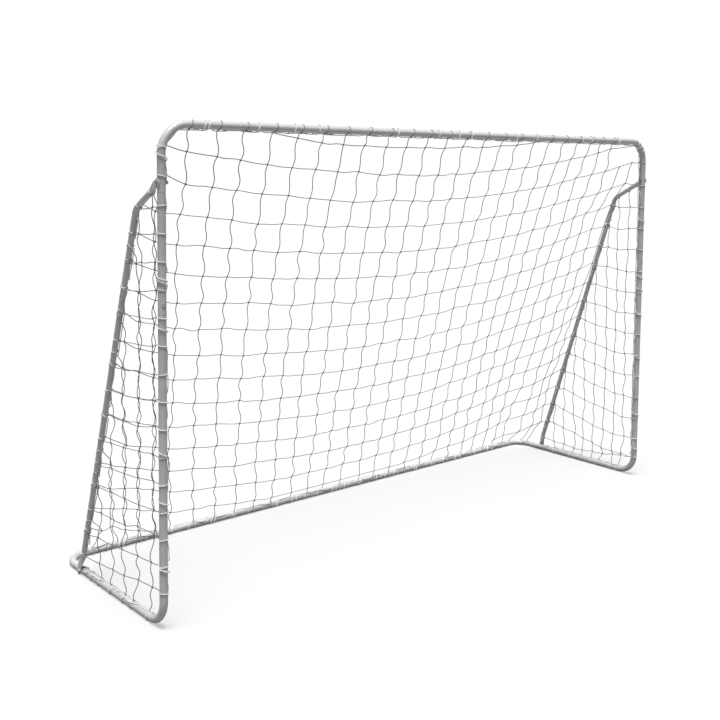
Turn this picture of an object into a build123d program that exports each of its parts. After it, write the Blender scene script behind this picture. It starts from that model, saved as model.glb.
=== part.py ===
from build123d import *
import os
from math import hypot

# Portable soccer goal: a push-together steel tube frame with a knotted net.
# Millimetres. X runs along the crossbar, -Y is the mouth, +Y is the back, +Z is up.
# The origin is on the floor, under the middle of the goal.

# Driving dimensions of the whole goal, outside to outside.
GOAL_WIDTH = 2400.0
GOAL_HEIGHT = 1500.0
GOAL_DEPTH = 700.0

# Main tube, and the thinner tube of the two side struts.
TUBE_RADIUS = 12.5
STRUT_RADIUS = 9.5
WALL = 1.0
SWAGE_CLEARANCE = 0.1
SHOULDER = 2.0
NECK_LENGTH = 60.0
STRUT_NECK_LENGTH = 48.0
# The rear corner's side neck is longer, because the strut's foot bolt crosses it too.
REAR_SIDE_NECK_LENGTH = 70.0

# Centre planes of the tubes.
POST_X = GOAL_WIDTH / 2 - TUBE_RADIUS
MOUTH_Y = -(GOAL_DEPTH / 2 - TUBE_RADIUS)
REAR_Y = -MOUTH_Y
GROUND_Z = TUBE_RADIUS
CROSSBAR_Z = GOAL_HEIGHT - TUBE_RADIUS

# Centre-line bend radii.
TOP_BEND = 85.0
GROUND_BEND = 75.0
REAR_BEND = 75.0
STRUT_BEND = 45.0

# Where the tube sections meet.
CROSSBAR_JOINT_X = 410.0
TOP_CORNER_JOINT_Z = 1292.0
POST_JOINT_Z = 938.0
GROUND_JOINT_Y = MOUTH_Y + 200.0
REAR_CORNER_JOINT = 10.0
STRUT_JOINT_Z = 950.0

# Side strut: bolted to the post, kinked backwards, bolted to the ground tube.
STRUT_TOP_Z = 1320.0
STRUT_ELBOW_Y = MOUTH_Y + 142.0
STRUT_ELBOW_Z = 1240.0
STRUT_FOOT_Y = MOUTH_Y + 540.0
PAD_WIDTH = 24.0
PAD_THICKNESS = 2.2
PAD_GAP = 0.1
PAD_LENGTH = 24.0
PAD_TRANSITION = 28.0
PAD_CORNER = 0.9
PAD_OVERLAP = 0.5
PAD_INNER_FACE = TUBE_RADIUS + PAD_GAP
PAD_CENTRE = PAD_INNER_FACE + PAD_THICKNESS / 2
STRUT_OFFSET = PAD_INNER_FACE + PAD_THICKNESS - STRUT_RADIUS
# The hollow inside a pressed end narrows to a thin slot just short of the pad.
SLOT_START = 2.5
SLOT_SHIFT = 0.4
SLOT_WIDTH = 18.0
SLOT_HEIGHT = 0.5
SLOT_CORNER = 0.2
# A rounded rectangle needs a corner just under half its side.
ROUND_TRIM = 0.02

# M6 bolts through the strut ends.
BOLT_RADIUS = 3.0
BOLT_HOLE_RADIUS = 3.3
BOLT_HOLE_REACH = TUBE_RADIUS + 8.0
BOLT_HEAD_ACROSS = 10.0
BOLT_HEAD_HEIGHT = 4.0
BOLT_HEAD_ROUND = 0.6
BOLT_PAST_NUT = 2.0
WASHER_RADIUS = 6.0
WASHER_THICKNESS = 1.6
NUT_HEIGHT = 5.0
THREAD_GAP = 0.05
BORE_LEAD = 1.0
BORE_LENGTH = 12.0

# Snap buttons: from the joint line to the button, along the neck.
BUTTON_DEPTH = 26.0
STRUT_BUTTON_DEPTH = 22.0
BUTTON_GAP = 0.3
BUTTON_HOLE_PAST_WALL = 5.0

# Net: knotted square mesh.
MESH = 98.0
TWINE = 2.4
NET_CLEARANCE = 2.1
NET_INSET = 8.0
NET_HALF_WIDTH = POST_X - NET_INSET
# The side net stops this far below the strut's kink, and cuts this much off the ground bend.
CROWN_DROP = 14.0
CORNER_CUT = GROUND_BEND * 0.8

# Border cord: how far its centre line is behind and inside the front tubes' centre line.
BORDER_CORD_RADIUS = 2.0
CORD_BEHIND = 8.9
CORD_INSIDE = 17.5

os.makedirs("parts", exist_ok=True)
parts = {}


def place(point, direction):
    """A plane at a point, with its normal along a direction."""
    return Plane(origin=point, z_dir=direction)


def straight(point, direction, radius, length):
    """A solid bar from a point along a direction."""
    return extrude(place(point, direction) * Circle(radius), amount=length)


def cone(point, direction, radius_1, radius_2, length):
    """A solid cone from a point along a direction."""
    align = (Align.CENTER, Align.CENTER, Align.MIN)
    return place(point, direction) * Cone(radius_1, radius_2, length, align=align)


def swept_bar(path, radius):
    """A solid bar along a path."""
    return sweep(place(path @ 0, path % 0) * Circle(radius), path=path)


def tube(path, radius):
    """A hollow tube along a path."""
    return swept_bar(path, radius) - swept_bar(path, radius - WALL)


def neck(point, direction, radius, length):
    """The swaged male end of a tube: a short shoulder, then a neck that fits inside the next tube."""
    step = WALL + SWAGE_CLEARANCE
    direction = Vector(direction).normalized()
    start = Vector(point)
    shoulder_end = start + direction * SHOULDER
    outer = cone(start, direction, radius, radius - step, SHOULDER)
    outer += straight(shoulder_end, direction, radius - step, length)
    inner = cone(start, direction, radius - WALL, radius - WALL - step, SHOULDER)
    inner += straight(shoulder_end, direction, radius - WALL - step, length)
    return outer - inner


def button_hole(point, direction, size):
    """The cutter for a snap button's hole through both walls on one side of a joint."""
    return straight(point, direction, size["radius"] + BUTTON_GAP,
                    size["tube"] + BUTTON_HOLE_PAST_WALL)


# Snap button sizes, for the main tube and for the strut tube.
MAIN_BUTTON = {
    "tube": TUBE_RADIUS,
    "radius": 3.5,
    "flange": 5.0,
    "flange_top": 8.8,
    "proud": 3.0,
    "strip": 8.0,
    "spring_length": 24.0,
}
STRUT_BUTTON = {
    "tube": STRUT_RADIUS,
    "radius": 3.0,
    "flange": 4.0,
    "flange_top": 5.9,
    "proud": 2.5,
    "strip": 6.0,
    "spring_length": 20.0,
}
FLANGE_THICKNESS = 1.0
STRIP_THICKNESS = 0.8
STRIP_FOLD_RADIUS = 2.0
STRIP_FOLD_SHARE = 0.4


def snap_button(point, direction, size):
    """A domed button with a flange that keeps it inside the neck."""
    base = size["flange_top"] - FLANGE_THICKNESS
    crown = size["tube"] + size["proud"] - size["radius"]
    radius = size["radius"]
    tip = crown + radius
    profile = Polyline(
        (0, tip), (0, base), (size["flange"], base), (size["flange"], size["flange_top"]),
        (radius, size["flange_top"]), (radius, crown),
    )
    dome = CenterArc((0, crown), radius, 0, 90)
    section = make_face(profile + dome)
    upright = revolve(Plane.XZ * section, axis=Axis.Z)
    return place(point, direction) * upright


def leaf_spring(point, direction, towards, size):
    """The folded strip that pushes a snap button out. It folds towards the tip of the neck."""
    bore = size["tube"] - 2 * WALL - SWAGE_CLEARANCE
    top = size["flange_top"] - FLANGE_THICKNESS - BUTTON_GAP - STRIP_THICKNESS / 2
    bottom = -((bore**2 - (size["strip"] / 2) ** 2) ** 0.5) + STRIP_THICKNESS
    length = size["spring_length"]
    fold = size["strip"] * STRIP_FOLD_SHARE
    points = [
        (-size["flange"], top), (size["flange"], top), (length, fold),
        (length, -fold), (-size["flange"], bottom),
    ]
    line = FilletPolyline(*points, radius=STRIP_FOLD_RADIUS)
    side = Vector(direction).cross(Vector(towards))
    plane = Plane(origin=point, x_dir=towards, z_dir=-side)
    strip = plane * trace(line, STRIP_THICKNESS)
    return extrude(strip, amount=size["strip"] / 2, both=True)


def mirrored(name, solid):
    """Keep a left-hand part, and its mirror image on the right."""
    parts[name + "_left"] = solid
    parts[name + "_right"] = mirror(solid, about=Plane.YZ)


# ---------------------------------------------------------------- snap button places
# point on the tube axis, outward direction, direction towards the neck's tip
LEFT = (-1, 0, 0)
RIGHT = (1, 0, 0)
UP = (0, 0, 1)
FRONT = (0, -1, 0)
BACK = (0, 1, 0)

strut_vector = Vector(0, STRUT_FOOT_Y - STRUT_ELBOW_Y, GROUND_Z - STRUT_ELBOW_Z).normalized()
strut_x = -(POST_X + STRUT_OFFSET)
strut_elbow = Vector(strut_x, STRUT_ELBOW_Y, STRUT_ELBOW_Z)
strut_foot = Vector(strut_x, STRUT_FOOT_Y, GROUND_Z)
strut_joint = strut_elbow + strut_vector * ((STRUT_ELBOW_Z - STRUT_JOINT_Z) / -strut_vector.Z)
strut_top = Vector(strut_x, MOUTH_Y, STRUT_TOP_Z)
strut_head_vector = (strut_elbow - strut_top).normalized()

REAR_JOINT_X = POST_X - REAR_BEND - REAR_CORNER_JOINT
REAR_JOINT_Y = REAR_Y - REAR_BEND - REAR_CORNER_JOINT

buttons = {
    "crossbar": (
        Vector(-CROSSBAR_JOINT_X + BUTTON_DEPTH, MOUTH_Y, CROSSBAR_Z), FRONT, RIGHT, MAIN_BUTTON,
    ),
    "post": (
        Vector(-POST_X, MOUTH_Y, POST_JOINT_Z + BUTTON_DEPTH), FRONT, UP, MAIN_BUTTON,
    ),
    "ground": (
        Vector(-POST_X, GROUND_JOINT_Y - BUTTON_DEPTH, GROUND_Z), LEFT, FRONT, MAIN_BUTTON,
    ),
    "rear_corner": (
        Vector(-REAR_JOINT_X + BUTTON_DEPTH, REAR_Y, GROUND_Z), BACK, RIGHT, MAIN_BUTTON,
    ),
    "rear_bar": (
        Vector(-CROSSBAR_JOINT_X + BUTTON_DEPTH, REAR_Y, GROUND_Z), BACK, RIGHT, MAIN_BUTTON,
    ),
    "strut": (
        strut_joint - strut_vector * STRUT_BUTTON_DEPTH, LEFT, -strut_vector, STRUT_BUTTON,
    ),
}


def holes_for(*names):
    """The button-hole cutters of the named joints."""
    cutters = [button_hole(buttons[n][0], buttons[n][1], buttons[n][3]) for n in names]
    return Compound(children=cutters)


def bolt_hole(y, z):
    """The cutter for a strut bolt that crosses a left-hand tube along X."""
    start = (-POST_X - BOLT_HOLE_REACH, y, z)
    return straight(start, RIGHT, BOLT_HOLE_RADIUS, 2 * BOLT_HOLE_REACH)


top_bolt_hole = bolt_hole(MOUTH_Y, STRUT_TOP_Z)
foot_bolt_hole = bolt_hole(STRUT_FOOT_Y, GROUND_Z)

# ---------------------------------------------------------------- front frame
# Top corner: female below, male neck along the crossbar.
corner_end = (-CROSSBAR_JOINT_X - SHOULDER, MOUTH_Y, CROSSBAR_Z)
corner_path = FilletPolyline(
    (-POST_X, MOUTH_Y, TOP_CORNER_JOINT_Z), (-POST_X, MOUTH_Y, CROSSBAR_Z), corner_end,
    radius=TOP_BEND,
)
top_corner = tube(corner_path, TUBE_RADIUS) + neck(corner_end, RIGHT, TUBE_RADIUS, NECK_LENGTH)
top_corner = top_corner - holes_for("crossbar") - top_bolt_hole
mirrored("top_corner", top_corner)


def middle_tube(y, z, button_name):
    """A straight female tube between the two necks, with a button hole at each end."""
    path = Line((-CROSSBAR_JOINT_X, y, z), (CROSSBAR_JOINT_X, y, z))
    holes = holes_for(button_name)
    return tube(path, TUBE_RADIUS) - holes - mirror(holes, about=Plane.YZ)


parts["crossbar_middle"] = middle_tube(MOUTH_Y, CROSSBAR_Z, "crossbar")

# Upper post: female below, male neck up into the top corner.
upper_end = (-POST_X, MOUTH_Y, TOP_CORNER_JOINT_Z - SHOULDER)
upper_path = Line((-POST_X, MOUTH_Y, POST_JOINT_Z), upper_end)
upper_post = tube(upper_path, TUBE_RADIUS) + neck(upper_end, UP, TUBE_RADIUS, NECK_LENGTH)
upper_post = upper_post - holes_for("post") - top_bolt_hole
mirrored("upper_post", upper_post)

# Lower post: bent into the ground frame, male neck up into the upper post.
lower_end = (-POST_X, MOUTH_Y, POST_JOINT_Z - SHOULDER)
lower_path = FilletPolyline(
    (-POST_X, GROUND_JOINT_Y, GROUND_Z), (-POST_X, MOUTH_Y, GROUND_Z), lower_end,
    radius=GROUND_BEND,
)
lower_post = tube(lower_path, TUBE_RADIUS) + neck(lower_end, UP, TUBE_RADIUS, NECK_LENGTH)
lower_post = lower_post - holes_for("post", "ground")
mirrored("lower_post", lower_post)

# ---------------------------------------------------------------- ground frame
# Side tube: male neck forwards into the lower post, female at the back.
side_front = (-POST_X, GROUND_JOINT_Y + SHOULDER, GROUND_Z)
side_path = Line(side_front, (-POST_X, REAR_JOINT_Y, GROUND_Z))
ground_side = tube(side_path, TUBE_RADIUS) + neck(side_front, FRONT, TUBE_RADIUS, NECK_LENGTH)
ground_side = ground_side - holes_for("ground") - foot_bolt_hole
mirrored("ground_side", ground_side)

# Rear corner: a bend with a male neck at each end.
rear_side_end = (-POST_X, REAR_JOINT_Y + SHOULDER, GROUND_Z)
rear_bar_end = (-REAR_JOINT_X - SHOULDER, REAR_Y, GROUND_Z)
rear_path = FilletPolyline(
    rear_side_end, (-POST_X, REAR_Y, GROUND_Z), rear_bar_end, radius=REAR_BEND,
)
rear_corner = tube(rear_path, TUBE_RADIUS)
rear_corner += neck(rear_side_end, FRONT, TUBE_RADIUS, REAR_SIDE_NECK_LENGTH)
rear_corner += neck(rear_bar_end, RIGHT, TUBE_RADIUS, NECK_LENGTH)
rear_corner = rear_corner - holes_for("rear_corner") - foot_bolt_hole
mirrored("rear_corner", rear_corner)

# Rear bar: two end tubes with male necks, and the same middle tube as the crossbar.
bar_end = (-CROSSBAR_JOINT_X - SHOULDER, REAR_Y, GROUND_Z)
bar_path = Line((-REAR_JOINT_X, REAR_Y, GROUND_Z), bar_end)
rear_bar = tube(bar_path, TUBE_RADIUS) + neck(bar_end, RIGHT, TUBE_RADIUS, NECK_LENGTH)
rear_bar = rear_bar - holes_for("rear_corner", "rear_bar")
mirrored("rear_bar", rear_bar)
parts["rear_bar_middle"] = middle_tube(REAR_Y, GROUND_Z, "rear_bar")


# ---------------------------------------------------------------- side struts
def flat_end(bolt_point, along):
    """A strut end pressed flat against the tube's outer face, then opening out to a round tube."""
    side = Vector(-1, 0, 0)
    pad_origin = Vector(-(POST_X + PAD_CENTRE), bolt_point.Y, bolt_point.Z)
    # the pad, seen from the side: a round nose about the bolt, then a straight tongue
    face = Plane(origin=pad_origin, x_dir=along, z_dir=side)
    outline = Circle(PAD_WIDTH / 2) + Pos(PAD_LENGTH / 2, 0) * Rectangle(PAD_LENGTH, PAD_WIDTH)
    pad = extrude(face * outline, amount=PAD_THICKNESS / 2, both=True)

    def section(distance, centre, width, height, corner):
        origin = Vector(-(POST_X + centre), bolt_point.Y, bolt_point.Z) + along * distance
        across = side.cross(along)
        plane = Plane(origin=origin, x_dir=across, z_dir=along)
        return plane * RectangleRounded(width, height, corner)

    def round_end(radius):
        return section(finish, STRUT_OFFSET, 2 * radius, 2 * radius, radius - ROUND_TRIM)

    start = PAD_LENGTH - PAD_OVERLAP
    finish = PAD_LENGTH + PAD_TRANSITION
    slot_start = PAD_LENGTH + SLOT_START
    slot_centre = PAD_CENTRE - SLOT_SHIFT
    flat = section(start, PAD_CENTRE, PAD_WIDTH, PAD_THICKNESS, PAD_CORNER)
    slot = section(slot_start, slot_centre, SLOT_WIDTH, SLOT_HEIGHT, SLOT_CORNER)
    flare = loft([flat, round_end(STRUT_RADIUS)])
    hollow = loft([slot, round_end(STRUT_RADIUS - WALL)])
    return pad + (flare - hollow)


def strut_round_start(bolt_point, along):
    """Where the pressed end has become a round tube again."""
    return bolt_point + along * (PAD_LENGTH + PAD_TRANSITION)


# Upper strut: pressed end on the post, then the kink, female below.
upper_strut_path = FilletPolyline(
    strut_round_start(strut_top, strut_head_vector), strut_elbow, strut_joint,
    radius=STRUT_BEND,
)
strut_upper = tube(upper_strut_path, STRUT_RADIUS)
strut_upper += flat_end(strut_top, strut_head_vector)
strut_upper = strut_upper - holes_for("strut") - top_bolt_hole
mirrored("strut_upper", strut_upper)

# Lower strut: male neck up into the upper strut, pressed end on the ground tube.
lower_strut_start = strut_joint + strut_vector * SHOULDER
lower_strut_path = Line(lower_strut_start, strut_round_start(strut_foot, -strut_vector))
strut_lower = tube(lower_strut_path, STRUT_RADIUS)
strut_lower += neck(lower_strut_start, -strut_vector, STRUT_RADIUS, STRUT_NECK_LENGTH)
strut_lower += flat_end(strut_foot, -strut_vector)
strut_lower = strut_lower - holes_for("strut") - foot_bolt_hole
mirrored("strut_lower", strut_lower)


# ---------------------------------------------------------------- strut bolts
def bolt_set(y, z):
    """A hex bolt from outside, a washer and a nut on the inner face of a left-hand tube."""
    outer_face = -(POST_X + PAD_INNER_FACE + PAD_THICKNESS)
    inner_face = -(POST_X - TUBE_RADIUS)
    washer_face = inner_face + WASHER_THICKNESS
    nut_face = washer_face + NUT_HEIGHT
    hexagon = RegularPolygon(BOLT_HEAD_ACROSS / 2, 6, major_radius=False)
    bolt = extrude(place((outer_face, y, z), LEFT) * hexagon, amount=BOLT_HEAD_HEIGHT)
    bolt = fillet(bolt.faces().sort_by(Axis.X)[0].edges(), BOLT_HEAD_ROUND)
    shank_length = nut_face + BOLT_PAST_NUT - outer_face
    bolt += straight((outer_face, y, z), RIGHT, BOLT_RADIUS, shank_length)
    bore_start = (inner_face - BORE_LEAD, y, z)
    bore = straight(bore_start, RIGHT, BOLT_RADIUS + THREAD_GAP, BORE_LENGTH)
    washer = straight((inner_face, y, z), RIGHT, WASHER_RADIUS, WASHER_THICKNESS) - bore
    nut = extrude(place((washer_face, y, z), RIGHT) * hexagon, amount=NUT_HEIGHT) - bore
    return bolt, washer, nut


left_sets = [bolt_set(MOUTH_Y, STRUT_TOP_Z), bolt_set(STRUT_FOOT_Y, GROUND_Z)]
for index, name in enumerate(("strut_bolts", "strut_washers", "strut_nuts")):
    left = [pieces[index] for pieces in left_sets]
    right = [mirror(piece, about=Plane.YZ) for piece in left]
    parts[name] = Compound(children=left + right)

# ---------------------------------------------------------------- snap buttons and springs
for name, (point, direction, towards, size) in buttons.items():
    mirrored("button_" + name, snap_button(point, direction, size))
    mirrored("spring_" + name, leaf_spring(point, direction, towards, size))


# ---------------------------------------------------------------- net
def lattice(outline, columns, rows):
    """A flat square-mesh net: the outline's edge twine plus its inner strands."""
    inset = offset(outline, amount=-TWINE)
    strands = [Pos(x, 0) * Rectangle(TWINE, 4 * GOAL_WIDTH) for x in columns]
    strands += [Pos(0, y) * Rectangle(4 * GOAL_WIDTH, TWINE) for y in rows]
    mesh = Sketch() + strands
    return (outline - inset) + (outline & mesh)


def spaced(start, end):
    """Strand places between two edges, as near to the mesh size as divides evenly."""
    count = max(1, round(abs(end - start) / MESH))
    return [start + (end - start) * i / count for i in range(1, count)]


# Back net: from under the crossbar to the struts' kink, then down to the rear bar.
net_top = (MOUTH_Y + TUBE_RADIUS + NET_CLEARANCE, CROSSBAR_Z - NET_INSET)
net_fold = (STRUT_ELBOW_Y, STRUT_ELBOW_Z)
net_bottom = (REAR_Y - NET_INSET, GROUND_Z + TUBE_RADIUS + NET_CLEARANCE)


def back_panel(start, end):
    """One flat panel of the back net between two (y, z) lines that run along X."""
    dy, dz = end[0] - start[0], end[1] - start[1]
    length = hypot(dy, dz)
    plane = Plane(origin=(0, start[0], start[1]), x_dir=(1, 0, 0), z_dir=(0, -dz, dy))
    if plane.y_dir.Z > 0:
        plane = Plane(origin=(0, start[0], start[1]), x_dir=(1, 0, 0), z_dir=(0, dz, -dy))
    outline = Pos(0, length / 2) * Rectangle(2 * NET_HALF_WIDTH, length)
    columns = spaced(-NET_HALF_WIDTH, NET_HALF_WIDTH)
    net = lattice(outline, columns, spaced(0, length))
    return extrude(plane * net, amount=TWINE / 2, both=True)


parts["net_back"] = back_panel(net_top, net_fold) + back_panel(net_fold, net_bottom)

# Side nets: between the post, the strut and the ground tube.
side_gap = TUBE_RADIUS + NET_CLEARANCE
strut_gap = STRUT_RADIUS + NET_CLEARANCE
front_y = MOUTH_Y + side_gap
low_z = GROUND_Z + side_gap
slope = (STRUT_FOOT_Y - STRUT_ELBOW_Y) / (STRUT_ELBOW_Z - GROUND_Z)
head_slope = (STRUT_ELBOW_Y - MOUTH_Y) / (STRUT_TOP_Z - STRUT_ELBOW_Z)
strut_shift = strut_gap * hypot(1, slope)
head_shift = strut_gap * hypot(1, head_slope)
crown_z = STRUT_ELBOW_Z - CROWN_DROP


def strut_front_y(z):
    """The back edge of the side net, just in front of the strut."""
    return STRUT_FOOT_Y - slope * (z - GROUND_Z) - strut_shift


def under_head_z(y):
    """The top edge of the side net, just under the head of the strut."""
    return STRUT_TOP_Z - (y - MOUTH_Y + head_shift) / head_slope


crown_y = strut_front_y(crown_z)
side_outline = make_face(Polyline(
    (front_y, low_z + CORNER_CUT), (front_y + CORNER_CUT, low_z),
    (strut_front_y(low_z), low_z), (crown_y, crown_z),
    (front_y, under_head_z(front_y)), close=True,
))
side_net = lattice(
    side_outline,
    spaced(front_y, strut_front_y(low_z)),
    spaced(low_z, crown_z),
)
side_plane = Plane(origin=(-POST_X, 0, 0), x_dir=(0, 1, 0), z_dir=(1, 0, 0))
mirrored("net_side", extrude(side_plane * side_net, amount=TWINE / 2, both=True))

# Border cord: runs just behind the mouth, up one post, along the crossbar and down the other.
cord_x = POST_X - CORD_INSIDE
cord_y = MOUTH_Y + CORD_BEHIND
cord_foot_z = GROUND_Z + GROUND_BEND
cord_top_z = CROSSBAR_Z - CORD_INSIDE
cord_path = FilletPolyline(
    (-cord_x, cord_y, cord_foot_z), (-cord_x, cord_y, cord_top_z),
    (cord_x, cord_y, cord_top_z), (cord_x, cord_y, cord_foot_z),
    radius=TOP_BEND - CORD_INSIDE,
)
parts["net_border_cord"] = swept_bar(cord_path, BORDER_CORD_RADIUS)

for name, solid in parts.items():
    solid.label = name
    export_step(solid, f"parts/{name}.step")
print(len(parts), "parts")
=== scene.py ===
import math
import random

import bpy
import numpy as np
from mathutils import Matrix, Vector


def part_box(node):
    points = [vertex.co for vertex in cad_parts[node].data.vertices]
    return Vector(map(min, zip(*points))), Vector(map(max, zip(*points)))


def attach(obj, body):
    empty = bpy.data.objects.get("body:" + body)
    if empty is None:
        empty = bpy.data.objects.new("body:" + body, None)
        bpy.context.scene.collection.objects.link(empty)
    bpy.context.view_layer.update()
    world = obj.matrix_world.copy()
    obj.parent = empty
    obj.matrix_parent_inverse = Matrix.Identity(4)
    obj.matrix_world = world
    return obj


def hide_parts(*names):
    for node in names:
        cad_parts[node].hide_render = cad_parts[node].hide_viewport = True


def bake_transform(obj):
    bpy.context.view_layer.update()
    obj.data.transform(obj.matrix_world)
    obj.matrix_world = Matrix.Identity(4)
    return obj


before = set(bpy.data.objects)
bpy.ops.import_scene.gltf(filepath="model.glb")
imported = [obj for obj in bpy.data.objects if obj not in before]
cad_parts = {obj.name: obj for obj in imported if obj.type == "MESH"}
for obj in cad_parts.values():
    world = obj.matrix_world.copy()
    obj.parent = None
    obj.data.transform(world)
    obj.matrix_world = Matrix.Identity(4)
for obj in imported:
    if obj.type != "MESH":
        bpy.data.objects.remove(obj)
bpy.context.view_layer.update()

# Portable soccer goal, in metres. -Y is the mouth, +Y the back, +Z up.
# The tubes, bolts, buttons and springs are the CAD nodes with procedural finishes.
# The net and its lacing are built here, in place of the plain CAD nets.

rng = random.Random(7)

# ---------------------------------------------------------------- the frame, from the CAD boxes


def middle(node):
    """The centre of a CAD node's box."""
    low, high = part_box(node)
    return [(a + b) / 2 for a, b in zip(low, high)]


TUBE = (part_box("crossbar_middle")[1][2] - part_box("crossbar_middle")[0][2]) / 2
STRUT_TUBE = (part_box("strut_lower_left")[1][0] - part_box("strut_lower_left")[0][0]) / 2
POST_X = middle("upper_post_right")[0]
MOUTH_Y, BAR_Z = middle("crossbar_middle")[1:]
REAR_Y, GROUND_Z = middle("rear_bar_middle")[1:]
STRUT_X = middle("strut_lower_right")[0]
BUTTON_X = (middle("button_crossbar_left")[0], middle("button_crossbar_right")[0])
BUTTON_Y = middle("button_ground_left")[1]
BUTTON_Z = middle("button_post_left")[2]
STRUT_BUTTON_Z = middle("button_strut_left")[2]

# Centre-line radii of the top corners and of the rear corners.
BEND = 0.085
REAR_BEND = 0.075

# Strut centre line, as (y, z) at its head, its kink and its foot.
HEAD = (MOUTH_Y, 1.32)
ELBOW = (MOUTH_Y + 0.142, 1.24)
FOOT = (MOUTH_Y + 0.54, GROUND_Z)

# ---------------------------------------------------------------- net sizes
# Radii of the net's twine and of the white lacing cord.
TWINE = 0.0014
LACE = 0.0016
COLUMNS = 25
ROWS = 16
# The first side row on the left and on the right. The back rows above it end on the post.
FIRST_SIDE_ROW = {-1: 2, 1: 3}

# How the back net hangs: where knot (column, row) lies across and in height. Each line of numbers is
# for a power of the column place u, each entry for a power of the row place v, both from -1 to 1.
MIDDLE_COLUMN = 12
MIDDLE_ROW = 7
ACROSS = [
    [0.1792, 0.1171, 0.0158, -0.0070], [1.1042, -0.0192, 0.0129, -0.0081],
    [-0.0521, 0.0178, 0.0412, -0.0175], [-0.0461, -0.0681, -0.0388, 0.0337],
    [-0.0291, -0.0867, -0.0727, 0.0631],
]
HEIGHT = [
    [0.6796, -0.6538, 0.0166, 0.0042], [0.0512, 0.0217, 0.0041, -0.0115],
    [0.1297, -0.0101, -0.0187, 0.0096], [-0.0030, -0.0130, 0.0010, 0.0161],
    [-0.0140, 0.0198, 0.0137, -0.0125],
]
# The extra columns beside the left strut, as (height, place across) from the rear bar up to the strut.
LEFT_COLUMNS = [
    [(0.03, -0.853), (0.42, -0.951), (0.68, -1.027), (1.14, -1.114), (1.25, -1.150)],
    [(0.03, -0.910), (0.32, -0.984), (0.59, -1.066), (0.93, -1.128), (1.10, -1.172)],
    [(0.03, -0.962), (0.23, -1.020), (0.38, -1.077), (0.62, -1.130), (0.80, -1.172)],
    [(0.03, -1.015), (0.14, -1.048), (0.30, -1.117), (0.52, -1.172)],
    [(0.03, -1.085), (0.14, -1.110), (0.25, -1.172)],
]
# Where the two lowest rows beside the left strut meet the rear bar.
LOW_ROW_STARTS = (-0.84, -1.04)

# The back net's side edge leaves the post at the first height and has reached the strut at the second.
EDGE_TOP = 1.42
EDGE_JOIN = 1.18
# The back net is flat this far from the middle, and further near the ground, below a height.
FLAT_HALF = 0.80
FLAT_HALF_GAIN = 0.27
FLAT_GAIN_BELOW = 0.6

# Where rows meet the left and right tubes: heights of single rows, then the (first row, its height, step)
# of the evenly spaced ones below them. Back rows end at the struts, or at the posts above them.
LEFT_ANCHORS = {0: 1.424, 1: 1.340}
LEFT_EVEN = (2, 1.25, 0.0838)
RIGHT_ANCHORS = {1: 1.400, 2: 1.296, 3: 1.205}
RIGHT_EVEN = (4, 1.108, 0.0872)
LEFT_POST_EVEN = (2, 1.255, 0.0816)
RIGHT_POST_EVEN = (4, 1.108, 0.0940)
LOWEST_POST_TIE = 0.085


def smooth(t):
    """0 to 1, starting and ending gently."""
    t = min(max(t, 0.0), 1.0)
    return t * t * (3 - 2 * t)


def table(coefficients, column, row):
    """What one of the two tables above gives at a knot."""
    u, v = (column - MIDDLE_COLUMN) / MIDDLE_COLUMN, (row - MIDDLE_ROW) / MIDDLE_ROW
    return sum(c * u**p * v**q for p, line in enumerate(coefficients) for q, c in enumerate(line))


def strut_y(z):
    """Where the strut's centre line is at a height."""
    if z >= ELBOW[1]:
        t = min((HEAD[1] - z) / (HEAD[1] - ELBOW[1]), 1.0)
        return HEAD[0] + max(t, 0.0) * (ELBOW[0] - HEAD[0])
    return ELBOW[0] + (ELBOW[1] - z) / (ELBOW[1] - FOOT[1]) * (FOOT[0] - ELBOW[0])


def net_edge_y(z):
    """Where the side edge of the back net is: at the post, then easing back to the strut below its kink."""
    if z < EDGE_JOIN:
        return strut_y(z)
    t = min(max((EDGE_TOP - z) / (EDGE_TOP - EDGE_JOIN), 0.0), 1.0)
    return MOUTH_Y + t * (0.4 + 0.6 * t) * (strut_y(EDGE_JOIN) - MOUTH_Y)


def net_y(x, z):
    """The back net: flat from the crossbar to the rear bar, and drawn in to the strut at each side."""
    flat = MOUTH_Y + (BAR_Z - z) / (BAR_Z - GROUND_Z) * (REAR_Y - MOUTH_Y)
    low = min(max((FLAT_GAIN_BELOW - z) / FLAT_GAIN_BELOW, 0.0), 1.0)
    start = FLAT_HALF + FLAT_HALF_GAIN * low
    w = smooth((abs(x) - start) / (POST_X - start))
    return flat + w * (net_edge_y(z) - flat)


def jitter(amount):
    return Vector([rng.gauss(0, amount) for _ in range(3)])


# ---------------------------------------------------------------- strand building
KNOT_STEPS = 12
# How far the knot's curve reaches, flat and in depth, before it is scaled to its size.
KNOT_REACH = 3.4
KNOT_DEPTH = 2.6
STEPS_PER_TURN = 16
# Sides of a strand, and the scale of its UVs: centimetres along, turns round.
SIDES = 6
CENTIMETRES = 100
# A span of twine has this many parts between two knots.
SPAN_PARTS = 6
# Sizes of the waves in a hanging span, which are smaller where the span is shorter than a full one.
WAVE = (0.0030, 0.0062)
FULL_SPAN = 0.08
# Spreads of the random part of each span, and the range of an across span's sag.
DOWN_WAVE_SPREAD = 0.0012
DOWN_BOW_SPREAD = (0.0016, 0.002)
ACROSS_WAVE_SPREAD = (0.0008, 0.0010)
ACROSS_SAG = (0.0002, 0.0022)


def curve(points, step):
    """A smooth line through points, at even steps."""
    p = [Vector(q) for q in points]
    p = [2 * p[0] - p[1]] + p + [2 * p[-1] - p[-2]]
    line = []
    for a, b, c, d in zip(p, p[1:], p[2:], p[3:]):
        n = max(1, round((c - b).length / step))
        for k in range(n):
            t = k / n
            line.append(0.5 * (2 * b + (c - a) * t + (2 * a - 5 * b + 4 * c - d) * t * t
                               + (3 * b - a - 3 * c + d) * t**3))
    line.append(p[-2])
    return line


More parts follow.
